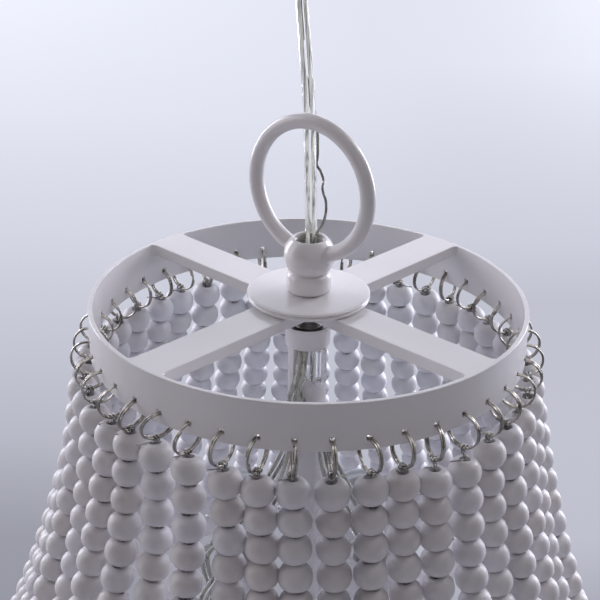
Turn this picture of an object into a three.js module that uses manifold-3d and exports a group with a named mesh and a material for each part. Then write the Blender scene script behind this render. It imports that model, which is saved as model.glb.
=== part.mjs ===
// Beaded chandelier: a bell of white wooden bead strands between two strip hoops, hung by a loop.
// Millimetres, +Z up. The origin is where a hook bears, at the top of the inside of the loop.
import * as THREE from 'three';
import { mergeVertices } from 'three/addons/utils/BufferGeometryUtils.js';
import Module from 'manifold-3d';

const wasm = await Module();
wasm.setup();

// Clearance left between pieces that seat on or pass through each other
const seatGap = 0.3;
// How far a cutting tool runs past what it cuts
const overrun = 2;
// Corners closer than this are one corner
const mergeWithin = 1e-4;

// Flat steel strip that both hoops are bent from, and the flat bar of their spokes
const stripWidth = 20;
const stripThick = 2;
const barWidth = 18;
const barThick = 5;

// Top ring and lower hoop, measured over the strip: the bell flares from one to the other
const topRingRadius = 92.5;
const hoopFlare = 52.5;
const hoopRadius = topRingRadius + hoopFlare;
const strandCount = 42;
const strandTurn = THREE.MathUtils.degToRad(1.38);
const barTurn = THREE.MathUtils.degToRad(46.8);

// Small square punched holes that the strands hang from
const holeSize = 3;
const holeFromEdge = 5.2;

// Split ring of each hanger, lying in a radial plane but swung a little
const hangerRadius = 7.75;
const hangerWire = 1.1;
const hangerSteps = 8;
const hangerSides = 3;
const hangerLean = THREE.MathUtils.degToRad(14);
const hangerSwing = THREE.MathUtils.degToRad(13);

// Wooden beads, and the wire that they are strung on
const beadWidth = 13.4;
const beadHeight = 11.3;
const beadsPerStrand = 15;
const beadSides = 4;
const beadEndShare = 0.42;
const strandWire = 1.2;
const knotLength = 2.4;
const hookReach = 4;

// How far a slack strand bows inwards, at the sides and at the front, and how much it varies
const bowSide = 2;
const bowFront = 10;
const bowVary = 3.5;
const swayWidth = 0.6;

// Hub stack on the top spokes: disc, neck coupling and the ball of the hanging loop
const discRadius = 26;
const discThick = 3;
const discStep = 0.9;
const neckRadius = 9.5;
const neckFoot = 8.7;
const neckTop = 7.6;
const neckHeight = 9;
const neckRiseShare = 0.2;
const ballRadius = 10.75;
const ballSeatDrop = 6.4;
const ballLip = 7.4;
const loopRadius = 28.2;
const loopRod = 6.5;
const loopTurn = THREE.MathUtils.degToRad(-36.5);

// Threaded tube that clamps the stack, and the cup and stem below it
const nippleRadius = 6.2;
const nippleBore = 4.8;
const nippleAboveSeat = 8.2;
const cupRadius = 9.6;
const cupWall = 0.9;
const cupHeight = 10;
const cupTop = 1.5;
const cupBelowBar = 6.2;
const stemRadius = 8.4;
const stemWall = 1.2;
const windowWidth = 13.6;
const windowHeight = 14;
const windowTurn = THREE.MathUtils.degToRad(-80);

// Candle lampholders, standing on the spokes of the lower hoop
const lampCount = 4;
const lampCircle = 40;
const lampCupRadius = 18;
const lampCupHeight = 10;
const sleeveRadius = 12;
const sleeveWall = 1.4;
const sleeveHeight = 75;
const socketDepth = 26;
const socketFloorShare = 0.55;

// Flat twin cable, bare earth wire, and the ceiling fitting that the cable runs up to
const cableWidth = 5;
const cableThick = 2.6;
const cableBevelShare = 0.25;
const earthWire = 1.2;
const spliceRadius = 4.9;
const spliceHeight = 4.4;
const fittingRadius = 40;
const fittingHeight = 24;
const fittingAbove = 148;
const fittingBoss = 7;
const fittingBossHeight = 5;
const fittingShoulderShare = 0.75;
const fittingRiseShare = 0.17;

// Corners that round pieces are turned with, and steps that bent ones are swept with
const discSides = 32;
const turnedSides = 20;
const tubeSides = 16;
const lampSides = 12;
const fittingSides = 24;
const ballSteps = 6;
const rodSides = 10;
const loopSteps = 32;
const cableSteps = 20;
const earthSides = 8;
const earthSteps = 40;
const leadSteps = 22;

const paint = new THREE.MeshStandardMaterial({ color: 0xe9e6ea, roughness: 0.45, metalness: 0 });
const wood = new THREE.MeshStandardMaterial({ color: 0xeeeef2, roughness: 0.6, metalness: 0 });
const nickel = new THREE.MeshStandardMaterial({ color: 0xb9b5ab, roughness: 0.25, metalness: 1 });
const clearVinyl = new THREE.MeshStandardMaterial({ color: 0xdfe3e2, roughness: 0.15, metalness: 0 });
const tinnedWire = new THREE.MeshStandardMaterial({ color: 0x8f8c84, roughness: 0.35, metalness: 1 });
const plastic = new THREE.MeshStandardMaterial({ color: 0xf1f0ee, roughness: 0.4, metalness: 0 });

// Everything but the loop is placed from the top edge of the top ring, which lies this far down
const neckBase = seatGap + discThick + seatGap;
const ballSeat = neckBase + neckHeight + seatGap;
const ballCentre = ballSeat + ballSeatDrop;
const loopCentre = ballCentre + loopRadius;
const bearingHeight = loopCentre + loopRadius - loopRod / 2;

const chandelier = new THREE.Group();
chandelier.position.z = -bearingHeight;

function place(name, geometry, material, parent = chandelier) {
  const mesh = new THREE.Mesh(geometry, material);
  mesh.name = name;
  parent.add(mesh);
  return mesh;
}

// A closed mesh with shared corners, no flat triangles and its faces pointing out
function closed(geometry) {
  const bare = new THREE.BufferGeometry();
  bare.setAttribute('position', geometry.getAttribute('position').clone());
  if (geometry.index) bare.setIndex(geometry.index.clone());
  const merged = mergeVertices(bare, mergeWithin);
  const at = merged.getAttribute('position');
  const corners = merged.index.array;
  const kept = [];
  const a = new THREE.Vector3();
  const b = new THREE.Vector3();
  const c = new THREE.Vector3();
  let volume = 0;
  for (let i = 0; i < corners.length; i += 3) {
    const [p, q, r] = [corners[i], corners[i + 1], corners[i + 2]];
    if (p === q || q === r || r === p) continue;
    kept.push(p, q, r);
    a.fromBufferAttribute(at, p);
    b.fromBufferAttribute(at, q);
    c.fromBufferAttribute(at, r);
    volume += a.dot(b.cross(c));
  }
  if (volume < 0) {
    for (let i = 0; i < kept.length; i += 3) [kept[i], kept[i + 1]] = [kept[i + 1], kept[i]];
  }
  merged.setIndex(kept);
  return merged;
}

function toSolid(geometry) {
  const tidy = closed(geometry);
  const at = tidy.getAttribute('position').array;
  const mesh = new wasm.Mesh({
    numProp: 3,
    vertProperties: new Float32Array(at),
    triVerts: new Uint32Array(tidy.index.array),
  });
  mesh.merge();
  return new wasm.Manifold(mesh);
}

function toGeometry(solid) {
  const mesh = solid.getMesh();
  const geometry = new THREE.BufferGeometry();
  geometry.setAttribute('position', new THREE.BufferAttribute(new Float32Array(mesh.vertProperties), 3));
  geometry.setIndex(new THREE.BufferAttribute(new Uint32Array(mesh.triVerts), 1));
  return geometry;
}

// A turned piece: profile points are [radius, height], and the first corner line lies at angle turn
function turned(profile, sides, turn = 0, onAxis = true) {
  const points = profile.map(([r, z]) => new THREE.Vector2(r, z));
  if (!onAxis) points.push(points[0].clone());
  const lathe = new THREE.LatheGeometry(points, sides);
  lathe.rotateX(Math.PI / 2);
  lathe.rotateZ(turn + Math.PI / 2);
  return closed(lathe);
}

// A polygonal rod with its flats, not its corners, at the given radius
function rod(radius, low, high, sides, turn = 0) {
  const corner = radius / Math.cos(Math.PI / sides);
  return turned([[0, low], [corner, low], [corner, high], [0, high]], sides, turn);
}

// A section swept along a curve
function swept(path, section, steps) {
  return closed(new THREE.ExtrudeGeometry(section, { steps, bevelEnabled: false, extrudePath: path }));
}

function roundSection(radius, sides) {
  const corners = [];
  for (let i = 0; i < sides; i++) {
    const angle = (i + 1 / 2) / sides * Math.PI * 2;
    corners.push(new THREE.Vector2(radius * Math.cos(angle), radius * Math.sin(angle)));
  }
  return new THREE.Shape(corners);
}

// The strip hoops: a flat band with one square hole on each facet
const step = Math.PI * 2 / strandCount;
const strandAngle = (i) => strandTurn + i * step;

function stripHoop(radius, top, holeHeight) {
  const inner = radius - stripThick;
  const facetShare = 1 / Math.cos(step / 2);
  const profile = [
    [inner * facetShare, top - stripWidth],
    [radius * facetShare, top - stripWidth],
    [radius * facetShare, top],
    [inner * facetShare, top],
  ];
  let band = toSolid(turned(profile, strandCount, strandTurn + step / 2, false));
  for (let i = 0; i < strandCount; i++) {
    const punch = new THREE.BoxGeometry(stripThick + 2 * overrun, holeSize, holeSize);
    punch.translate(radius - stripThick / 2, 0, holeHeight);
    punch.rotateZ(strandAngle(i));
    band = band.subtract(toSolid(punch));
  }
  return toGeometry(band);
}

const holeDepth = stripWidth - holeFromEdge;
place('top_ring', stripHoop(topRingRadius, 0, -holeDepth), paint);

// Two flat bars crossed at one level, their ends cut to the inside of the hoop that they are welded in
function cross(radius, top, bore) {
  const inside = radius - stripThick - seatGap;
  const bar = new THREE.BoxGeometry(2 * radius, barWidth, barThick);
  bar.translate(0, 0, top - barThick / 2);
  const first = toSolid(bar.clone().rotateZ(barTurn));
  const second = toSolid(bar.clone().rotateZ(barTurn + Math.PI / 2));
  const corner = inside / Math.cos(step / 2);
  const trimProfile = [
    [0, top - stripWidth],
    [corner, top - stripWidth],
    [corner, top + overrun],
    [0, top + overrun],
  ];
  const trim = toSolid(turned(trimProfile, strandCount, strandTurn + step / 2));
  let bars = first.add(second).intersect(trim);
  if (bore) bars = bars.subtract(toSolid(rod(bore, top - barThick - overrun, top + overrun, tubeSides)));
  return toGeometry(bars);
}

const threadBore = nippleRadius + seatGap;
place('top_cross', cross(topRingRadius, 0, threadBore), paint);

// Hub disc with its two-step rim
const discBase = seatGap;
const discTop = discBase + discThick;
const discMid = discBase + discThick / 2;
place('hub_disc', turned([
  [threadBore, discBase],
  [discRadius - discStep, discBase],
  [discRadius - discStep, discMid],
  [discRadius, discMid],
  [discRadius, discTop - discStep],
  [discRadius - discStep, discTop],
  [threadBore, discTop],
], discSides, 0, false), paint);

// Neck coupling: a short barrel, fuller at its foot than at its shoulder
const neckRise = neckHeight * neckRiseShare;
place('neck_coupling', turned([
  [threadBore, neckBase],
  [neckFoot, neckBase],
  [neckRadius, neckBase + neckRise],
  [neckRadius, neckBase + neckHeight - neckRise],
  [neckTop, neckBase + neckHeight],
  [threadBore, neckBase + neckHeight],
], turnedSides, 0, false), paint);

// Hanging loop: a ring of round rod cast in one with its bored ball
const hung = new THREE.Group();
chandelier.add(hung);
const lipHeight = Math.sqrt(ballRadius ** 2 - ballLip ** 2);
const ballProfile = [[0, ballSeat]];
const lowAngle = -Math.asin(ballSeatDrop / ballRadius);
const highAngle = Math.asin(lipHeight / ballRadius);
for (let i = 0; i <= ballSteps; i++) {
  const angle = lowAngle + (highAngle - lowAngle) * i / ballSteps;
  ballProfile.push([ballRadius * Math.cos(angle), ballCentre + ballRadius * Math.sin(angle)]);
}
const lipTop = ballCentre + lipHeight;
ballProfile.push([0, lipTop]);
const ball = toSolid(turned(ballProfile, turnedSides));
const rodRing = new THREE.TorusGeometry(loopRadius, loopRod / 2, rodSides, loopSteps);
rodRing.rotateX(Math.PI / 2);
rodRing.translate(0, 0, loopCentre);
rodRing.rotateZ(loopTurn);
const ballBore = toSolid(rod(threadBore, ballSeat - overrun, loopCentre, turnedSides));
place('hanging_loop', toGeometry(ball.add(toSolid(rodRing)).subtract(ballBore)), paint, hung);

// Threaded tube through the whole stack
const barUnder = -barThick;
const cupPlateTop = barUnder - cupBelowBar;
const nippleTop = ballSeat + nippleAboveSeat;
const nippleEnd = cupPlateTop - cupTop - seatGap;
place('threaded_nipple', turned([
  [nippleBore, nippleEnd],
  [nippleRadius, nippleEnd],
  [nippleRadius, nippleTop],
  [nippleBore, nippleTop],
], tubeSides, 0, false), nickel);

// Wiring cup, screwed on the end of the tube and capping the stem
const cupFoot = cupPlateTop - cupHeight;
place('wiring_cup', turned([
  [threadBore, cupPlateTop - cupTop],
  [cupRadius - cupWall, cupPlateTop - cupTop],
  [cupRadius - cupWall, cupFoot],
  [cupRadius, cupFoot],
  [cupRadius, cupPlateTop],
  [threadBore, cupPlateTop],
], turnedSides, 0, false), paint);

// Where the strands start and end
const holeFloor = -holeDepth - holeSize / 2;
const hangerFlat = hangerRadius * Math.cos(Math.PI / hangerSteps);
const hangHeight = holeFloor + seatGap + hangerWire / 2;
const ringMid = topRingRadius - stripThick / 2;
const strandTopRadius = ringMid + 2 * hangerFlat * Math.sin(hangerLean);
const strandTopHeight = hangHeight - 2 * hangerFlat * Math.cos(hangerLean);
const strandFootRadius = hoopRadius + seatGap + strandWire / 2;
const strandLength = knotLength + beadsPerStrand * beadHeight;
const strandFlare = Math.asin((strandFootRadius - strandTopRadius) / strandLength);
const hoopTop = strandTopHeight - strandLength * Math.cos(strandFlare) - knotLength;
const hoopHole = hoopTop - barThick - seatGap - strandWire / 2;

place('lower_hoop', stripHoop(hoopRadius, hoopTop, hoopHole), paint);
place('lower_cross', cross(hoopRadius, hoopTop, 0), paint);

// Stem: a tube from the wiring cup down to the lower spokes, with a window front and back for the leads
const stemTop = cupPlateTop - cupTop - seatGap;
const stemFoot = hoopTop + seatGap;
const windowTop = cupFoot - seatGap;
const stemInner = stemRadius - stemWall;
let stem = toSolid(turned([
  [stemInner, stemFoot],
  [stemRadius, stemFoot],
  [stemRadius, stemTop],
  [stemInner, stemTop],
], turnedSides, 0, false));
const windowCut = new THREE.BoxGeometry(4 * stemRadius, windowWidth, windowHeight);
windowCut.translate(0, 0, windowTop - windowHeight / 2);
windowCut.rotateZ(windowTurn);
stem = stem.subtract(toSolid(windowCut));
place('stem', toGeometry(stem), paint);

// One strand: its wire and beads as one beaded column, bent along the strand's bow, with its hanger ring
const equalArea = Math.sqrt(2 * Math.PI / (beadSides * Math.sin(2 * Math.PI / beadSides)));
function beadedColumn() {
  const belly = beadWidth / 2 * equalArea;
  const end = belly * beadEndShare;
  const profile = [[0, 0]];
  for (let i = 0; i < beadsPerStrand; i++) {
    profile.push([end, i * beadHeight]);
    profile.push([belly, (i + 1 / 2) * beadHeight]);
  }
  profile.push([end, beadsPerStrand * beadHeight], [0, beadsPerStrand * beadHeight]);
  return turned(profile, beadSides, Math.PI / beadSides);
}
const column = beadedColumn();

// A steady variation between -1 and 1 that doesn't repeat round the bell
const vary = (i, turns) => Math.sin(i * turns * Math.PI * 2 + turns);

function strand(index) {
  const front = Math.max(0, -Math.sin(strandAngle(index))) ** 2;
  const bow = bowSide + (bowFront - bowSide) * front + bowVary * (1 + vary(index, 0.382)) / 2;
  const sway = swayWidth * vary(index, 0.271);
  const swing = hangerSwing * vary(index, 0.618);
  const start = new THREE.Vector3(strandTopRadius - ringMid, 0, strandTopHeight);
  start.applyAxisAngle(new THREE.Vector3(0, 0, 1), swing);
  start.x += ringMid;
  const foot = new THREE.Vector3(strandFootRadius, 0, hoopTop + knotLength);
  const chord = foot.clone().sub(start);
  const inward = new THREE.Vector3(chord.z, 0, -chord.x).normalize();
  const lineAt = (share) => {
    const arch = 4 * share * (1 - share);
    const point = start.clone().addScaledVector(chord, share);
    point.addScaledVector(inward, arch * bow);
    point.y += arch * sway;
    return point;
  };
  const beads = column.clone();
  const at = beads.getAttribute('position');
  const bit = 1 / beadsPerStrand;
  for (let i = 0; i < at.count; i++) {
    const share = (knotLength + at.getZ(i)) / strandLength;
    const point = lineAt(share);
    const ahead = lineAt(share + bit).sub(lineAt(share - bit)).normalize();
    const out = new THREE.Vector3(-ahead.z, 0, ahead.x).normalize();
    const side = new THREE.Vector3().crossVectors(out, ahead);
    point.addScaledVector(out, at.getX(i)).addScaledVector(side, at.getY(i));
    at.setXYZ(i, point.x, point.y, point.z);
  }
  const knotLine = new THREE.LineCurve3(lineAt(0), lineAt((knotLength + strandWire) / strandLength));
  const knot = swept(knotLine, roundSection(strandWire / 2, beadSides), 1);
  const half = strandWire / 2;
  const hook = new THREE.ExtrudeGeometry(new THREE.Shape([
    [half, -half], [half, foot.z - hoopHole + strandWire], [-half, foot.z - hoopHole + strandWire],
    [-half, half], [-half - hookReach, half], [-half - hookReach, -half],
  ].map(([x, y]) => new THREE.Vector2(x, y))), { depth: strandWire, bevelEnabled: false });
  hook.translate(0, 0, -half);
  hook.rotateX(Math.PI / 2);
  hook.translate(foot.x, 0, hoopHole);
  const ring = new THREE.TorusGeometry(hangerRadius, hangerWire / 2, hangerSides, hangerSteps);
  ring.rotateZ(Math.PI / hangerSteps);
  ring.rotateX(Math.PI / 2);
  ring.translate(0, 0, -hangerFlat);
  ring.rotateY(-hangerLean);
  ring.rotateZ(swing);
  ring.translate(ringMid, 0, hangHeight);
  const solid = toSolid(beads).add(toSolid(knot)).add(toSolid(ring)).add(toSolid(hook));
  const geometry = toGeometry(solid);
  geometry.rotateZ(strandAngle(index));
  return geometry;
}

for (let i = 0; i < strandCount; i++) {
  place(`bead_strand_${String(i + 1).padStart(2, '0')}`, strand(i), wood);
}

// Candle lampholders: a cup, a card sleeve and the socket's mouth, in one body each
const lampBase = hoopTop + seatGap;
const lampTop = lampBase + lampCupHeight + sleeveHeight;
const lampAngle = (i) => barTurn + i * Math.PI * 2 / lampCount;
for (let i = 0; i < lampCount; i++) {
  const lamp = turned([
    [0, lampBase],
    [lampCupRadius * socketFloorShare, lampBase],
    [lampCupRadius, lampBase + lampCupHeight],
    [sleeveRadius, lampBase + lampCupHeight],
    [sleeveRadius, lampTop],
    [sleeveRadius - sleeveWall, lampTop],
    [sleeveRadius - sleeveWall, lampTop - socketDepth],
    [0, lampTop - socketDepth],
  ], lampSides);
  lamp.translate(lampCircle * Math.cos(lampAngle(i)), lampCircle * Math.sin(lampAngle(i)), 0);
  place(`candle_lamp_${i + 1}`, lamp, plastic);
}

// Flat twin cable: two cores side by side in clear vinyl
function cableSection(across, through) {
  const [w, t, bevel] = [across / 2, through / 2, Math.min(across, through) * cableBevelShare];
  return new THREE.Shape([
    [w, -t + bevel], [w, t - bevel], [w - bevel, t], [-w + bevel, t],
    [-w, t - bevel], [-w, -t + bevel], [-w + bevel, -t], [w - bevel, -t],
  ].map(([x, y]) => new THREE.Vector2(x, y)));
}
function route(points) {
  const corners = points.map((point) => new THREE.Vector3(...point));
  return new THREE.CatmullRomCurve3(corners, false, 'centripetal');
}

// Supply cable: up from the splice in the stem, through the ball and past the back of the loop's top
const cableEnd = nippleEnd - cableThick / 2;
const supplyRoute = route([
  [0, 0, cableEnd], [0, 0, -6], [0, 0, 4], [0.1, 0, 12], [0.3, 0.2, 20],
  [0.5, 0.7, 26.6], [0.4, 2.2, 36.5], [0.1, 4.2, 47], [-0.4, 6.6, 59.4], [-0.7, 8.4, 68],
  [-1, 9, 76], [-1.7, 9, 87.6], [-2.8, 8.8, 99.7], [-3.8, 8.6, 111.5],
  [-4.8, 8.5, 123.2], [-5.2, 8.5, 134], [-5.2, 8.5, fittingAbove - seatGap],
]);
place('supply_cord', swept(supplyRoute, cableSection(cableThick, cableWidth), cableSteps), clearVinyl, hung);

// Bare twisted earth wire, which leaves the ball beside the cable and climbs behind it
const earthRoute = route([
  [0.8, -3.2, cableEnd], [0.8, -3.2, 0], [0.9, -3, 14], [1.3, -2.9, 22], [2, -2.7, 27.3],
  [3.5, -1.9, 31.9], [5.3, -0.2, 36.9], [6.2, 1.8, 42.2], [6.3, 4.2, 47], [5.2, 6.6, 51.2],
  [3.9, 8.6, 54.5], [2.9, 9.8, 57.4], [2.5, 10.8, 62.2], [2.3, 11.6, 68.1], [1.6, 12, 77.5],
  [-0.3, 12, 90.6], [-3.7, 12, 104.7], [-6.4, 12, 118.5], [-6.6, 12, 134],
  [-6.6, 12, fittingAbove - seatGap],
]);
const earthSection = roundSection(earthWire / 2, earthSides);
place('earth_wire', swept(earthRoute, earthSection, earthSteps), tinnedWire, hung);

// Ceiling fitting that the cable runs into, flat on its back
const fitting = turned([
  [0, fittingAbove],
  [fittingBoss, fittingAbove],
  [fittingBoss, fittingAbove + fittingBossHeight],
  [fittingRadius * fittingShoulderShare, fittingAbove + fittingBossHeight + fittingHeight * fittingRiseShare],
  [fittingRadius, fittingAbove + fittingBossHeight + fittingHeight / 2],
  [fittingRadius, fittingAbove + fittingHeight],
  [0, fittingAbove + fittingHeight],
], fittingSides);
const fittingCentre = supplyRoute.getPoint(1);
fitting.translate(fittingCentre.x, fittingCentre.y, 0);
place('ceiling_fitting', fitting, plastic, hung);

// Splice under the threaded tube, with the four clear leads that leave it through the stem's windows
const spliceTop = cableEnd - seatGap;
const leadEnd = lampBase + lampCupHeight + seatGap;
const leadSection = cableSection(cableWidth, cableThick);
const leadRoutes = [[
  [-2.1, -2.2, spliceTop - spliceHeight / 2], [-2.2, -2.8, -22], [-2.8, -5.4, -27.2], [-3.4, -8.8, -32.2],
  [-4.4, -10.9, -37.4], [-5.3, -10.9, -45], [-5.3, -10.9, -58], [-6.2, -11.1, -70], [-9, -11.4, -82],
  [-15, -11.8, -96], [-23.5, -12.4, -111], [-32, -13.6, -125.5], [-39.5, -15.4, -135.5],
  [-45.5, -19, -145.5], [-45.5, -24, -158], [-43.4, -28.2, -171], [-42.6, -29.2, leadEnd],
], [
  [1.9, -2.2, spliceTop - spliceHeight / 2], [2.1, -2.8, -22], [3.4, -6, -26.6], [4.6, -10, -30.4],
  [5.3, -12.3, -34.4], [5.1, -11.4, -39], [4.8, -10.9, -46], [4.8, -10.9, -58], [6.4, -11.2, -70],
  [10, -11.2, -82], [17, -11.8, -97], [26, -12.8, -113], [35, -15, -129], [43, -18.6, -143],
  [46.8, -22.4, -156], [45.6, -26, -168], [44.4, -27.4, leadEnd],
]];
let leads = toSolid(rod(spliceRadius, spliceTop - spliceHeight, spliceTop, lampSides));
for (const points of leadRoutes) {
  const lead = swept(route(points), leadSection, leadSteps);
  leads = leads.add(toSolid(lead)).add(toSolid(lead.clone().rotateZ(Math.PI)));
}
place('lamp_leads', toGeometry(leads), clearVinyl);

export default chandelier;
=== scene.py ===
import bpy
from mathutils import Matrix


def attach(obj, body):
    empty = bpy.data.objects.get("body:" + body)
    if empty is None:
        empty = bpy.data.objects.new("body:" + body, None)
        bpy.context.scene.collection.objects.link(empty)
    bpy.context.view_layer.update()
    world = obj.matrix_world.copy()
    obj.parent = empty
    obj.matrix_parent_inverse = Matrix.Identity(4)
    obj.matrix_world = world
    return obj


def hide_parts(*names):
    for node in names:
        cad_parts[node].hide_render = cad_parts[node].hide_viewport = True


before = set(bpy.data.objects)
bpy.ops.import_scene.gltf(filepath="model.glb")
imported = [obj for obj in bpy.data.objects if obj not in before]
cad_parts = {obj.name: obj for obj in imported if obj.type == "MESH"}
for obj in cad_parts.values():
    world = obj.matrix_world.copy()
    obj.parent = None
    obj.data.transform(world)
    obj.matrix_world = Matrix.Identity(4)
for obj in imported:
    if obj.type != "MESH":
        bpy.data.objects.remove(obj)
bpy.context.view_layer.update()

import math
import random

import bpy
from mathutils import Matrix, Vector

# The view
# A long lens half a metre away looks down into the top ring, and leans by one degree.
ring_top = -0.07245
look_down = math.radians(24.817)
lean = math.radians(0.98)
looked_at = Vector((-0.003586, 0, ring_top - 0.001606))
view_distance = 0.54764
back = Vector((0, -math.cos(look_down), math.sin(look_down)))
level = Vector((1, 0, 0))
upright = back.cross(level)
view_right = level * math.cos(lean) + upright * math.sin(lean)
view_up = upright * math.cos(lean) - level * math.sin(lean)
camera = bpy.data.objects.new("view", bpy.data.cameras.new("view"))
camera.data.lens = 77.53
camera.data.sensor_width = 36
camera.matrix_world = Matrix.Translation(looked_at + back * view_distance) \
    @ Matrix((view_right, view_up, back)).transposed().to_4x4()
bpy.context.scene.collection.objects.link(camera)
bpy.context.scene.camera = camera
bpy.context.scene.view_settings.view_transform = "Standard"


# Supply cable
# Clear flexible vinyl flat twin, with two cores of twisted tinned strands that show through it.
# It comes up the threaded tube from the splice, out of the ball and past the back of the loop.
def smooth_route(points, spacing):
    """Points that lie the spacing apart on a smooth curve through the given ones."""
    p = [Vector(q) for q in points]
    p = [p[0] * 2 - p[1], *p, p[-1] * 2 - p[-2]]
    fine, fine_steps = [], 24
    for a, b, c, d in zip(p, p[1:], p[2:], p[3:]):
        u, v, w = (max((s - t).length, 1e-9) ** 0.5 for s, t in ((b, a), (c, b), (d, c)))
        leave = ((b - a) / u - (c - a) / (u + v) + (c - b) / v) * v
        arrive = ((c - b) / v - (d - b) / (v + w) + (d - c) / w) * v
        for t in (i / fine_steps for i in range(fine_steps)):
            fine.append(b + leave * t + (c * 3 - b * 3 - leave * 2 - arrive) * t ** 2
                        + (b * 2 - c * 2 + leave + arrive) * t ** 3)
    fine.append(p[-2])
    run = [0]
    for a, b in zip(fine, fine[1:]):
        run.append(run[-1] + (b - a).length)
    count = max(2, round(run[-1] / spacing))
    route, i = [], 0
    for k in range(count + 1):
        at = run[-1] * k / count
        while i < len(fine) - 2 and run[i + 1] < at:
            i += 1
        route.append(fine[i].lerp(fine[i + 1], (at - run[i]) / max(run[i + 1] - run[i], 1e-12)))
    return route


def from_ring(points):
    """Points given in mm from the middle of the top ring's upper edge, in metres in the part's frame."""
    return [(x / 1000, y / 1000, ring_top + z / 1000) for x, y, z in points]


def framed(route, side):
    """Each point of a route with its two cross directions, which turn no more than the route does."""
    side = Vector(side)
    rows = []
    for i, point in enumerate(route):
        ahead = (route[min(i + 1, len(route) - 1)] - route[max(i - 1, 0)]).normalized()
        side = (side - ahead * side.dot(ahead)).normalized()
        rows.append((point, side, ahead.cross(side)))
    return rows


def tube(rows, section):
    """A closed-ended tube, whose section is a list of (across, through) pairs."""
    size = len(section)
    corners = [p + s * x + t * y for p, s, t in rows for x, y in section]
    faces = [tuple(reversed(range(size))), tuple(range(len(corners) - size, len(corners)))]
    for i in range(0, len(corners) - size, size):
        for j in range(size):
            k = (j + 1) % size
            faces.append((i + j, i + k, i + size + k, i + size + j))
    return corners, faces


def round_section(radius, sides=8):
    """The (across, through) pairs of a circle."""
    return [(radius * math.cos(2 * math.pi * i / sides), radius * math.sin(2 * math.pi * i / sides))
            for i in range(sides)]


def joined(parts):
    """Several shapes as one."""
    corners, faces = [], []
    for more, shape in parts:
        faces += [tuple(i + len(corners) for i in face) for face in shape]
        corners += more
    return corners, faces


def twisted(route, side, strands, strand, turn, lay):
    """Round strands of one radius, laid round a route at the turn's radius, once round in each lay."""
    rows = framed(route, side)
    step = (route[1] - route[0]).length
    parts = []
    for n in range(strands):
        line = []
        for i, (p, s, t) in enumerate(rows):
            a = 2 * math.pi * (n / strands + i * step / lay)
            line.append(p + (s * math.cos(a) + t * math.sin(a)) * turn)
        parts.append(tube(framed(line, side), round_section(strand, sides=6)))
    return joined(parts)


def add_piece(name, shape, material, body, stands_for=(), sharp=35):
    """Makes a piece that rides on a body. Edges over the sharp angle stay crisp, and none does at 0."""
    mesh = bpy.data.meshes.new(name)
    mesh.from_pydata([tuple(p) for p in shape[0]], [], shape[1])
    mesh.shade_smooth()
    if sharp:
        mesh.set_sharp_from_angle(angle=math.radians(sharp))
    mesh.materials.append(material)
    piece = bpy.data.objects.new(name, mesh)
    bpy.context.scene.collection.objects.link(piece)
    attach(piece, body)
    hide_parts(*stands_for)
    return piece


def share_of(tree, value, low, high, eased=False):
    """How far a value has come from low to high, from 0 to 1."""
    made = tree.nodes.new("ShaderNodeMapRange")
    made.inputs["From Min"].default_value = low
    made.inputs["From Max"].default_value = high
    if eased:
        made.interpolation_type = "SMOOTHSTEP"
    tree.links.new(value, made.inputs["Value"])
    return made.outputs["Result"]


def blended(tree, share, first, second, how="MIX"):
    """Two colours blended by a share that varies. Without a share the second has its full effect."""
    made = tree.nodes.new("ShaderNodeMix")
    made.data_type = "RGBA"
    made.blend_type = how
    # Its sockets for colour: 0 is the share, 6 and 7 are the two colours and 2 is the result.
    made.inputs[0].default_value = 1
    if share is not None:
        tree.links.new(share, made.inputs[0])
    tree.links.new(first, made.inputs[6])
    tree.links.new(second, made.inputs[7])
    return made.outputs[2]


def uneven_finish(name, stretch=(1, 1, 1)):
    """Two colours clouded into each other, with uneven gloss and a fine grain."""
    group = bpy.data.node_groups.new(name, "ShaderNodeTree")
    sockets = {"Place": "Vector", "Light": "Color", "Dark": "Color", "Cloud Scale": "Float",
               "Grain Scale": "Float", "Smooth": "Float", "Rough": "Float"}
    for label, kind in sockets.items():
        group.interface.new_socket(label, in_out="INPUT", socket_type="NodeSocket" + kind)
    for label, kind in {"Colour": "Color", "Gloss": "Float", "Grain": "Float"}.items():
        group.interface.new_socket(label, in_out="OUTPUT", socket_type="NodeSocket" + kind)
    new, link = group.nodes.new, group.links.new
    given, made = new("NodeGroupInput"), new("NodeGroupOutput")
    place = new("ShaderNodeMapping")
    place.inputs["Scale"].default_value = stretch
    link(given.outputs["Place"], place.inputs["Vector"])
    cloud, grain = new("ShaderNodeTexNoise"), new("ShaderNodeTexNoise")
    cloud.inputs["Detail"].default_value = 2
    for noise, scale in ((cloud, "Cloud Scale"), (grain, "Grain Scale")):
        link(place.outputs["Vector"], noise.inputs["Vector"])
        link(given.outputs[scale], noise.inputs["Scale"])
    light_share = share_of(group, cloud.outputs["Fac"], 0.2, 0.8, eased=True)
    gloss = new("ShaderNodeMapRange")
    link(light_share, gloss.inputs["Value"])
    link(given.outputs["Rough"], gloss.inputs["To Min"])
    link(given.outputs["Smooth"], gloss.inputs["To Max"])
    link(blended(group, light_share, given.outputs["Dark"], given.outputs["Light"]), made.inputs["Colour"])
    link(gloss.outputs["Result"], made.inputs["Gloss"])
    link(grain.outputs["Fac"], made.inputs["Grain"])
    return group


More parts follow.
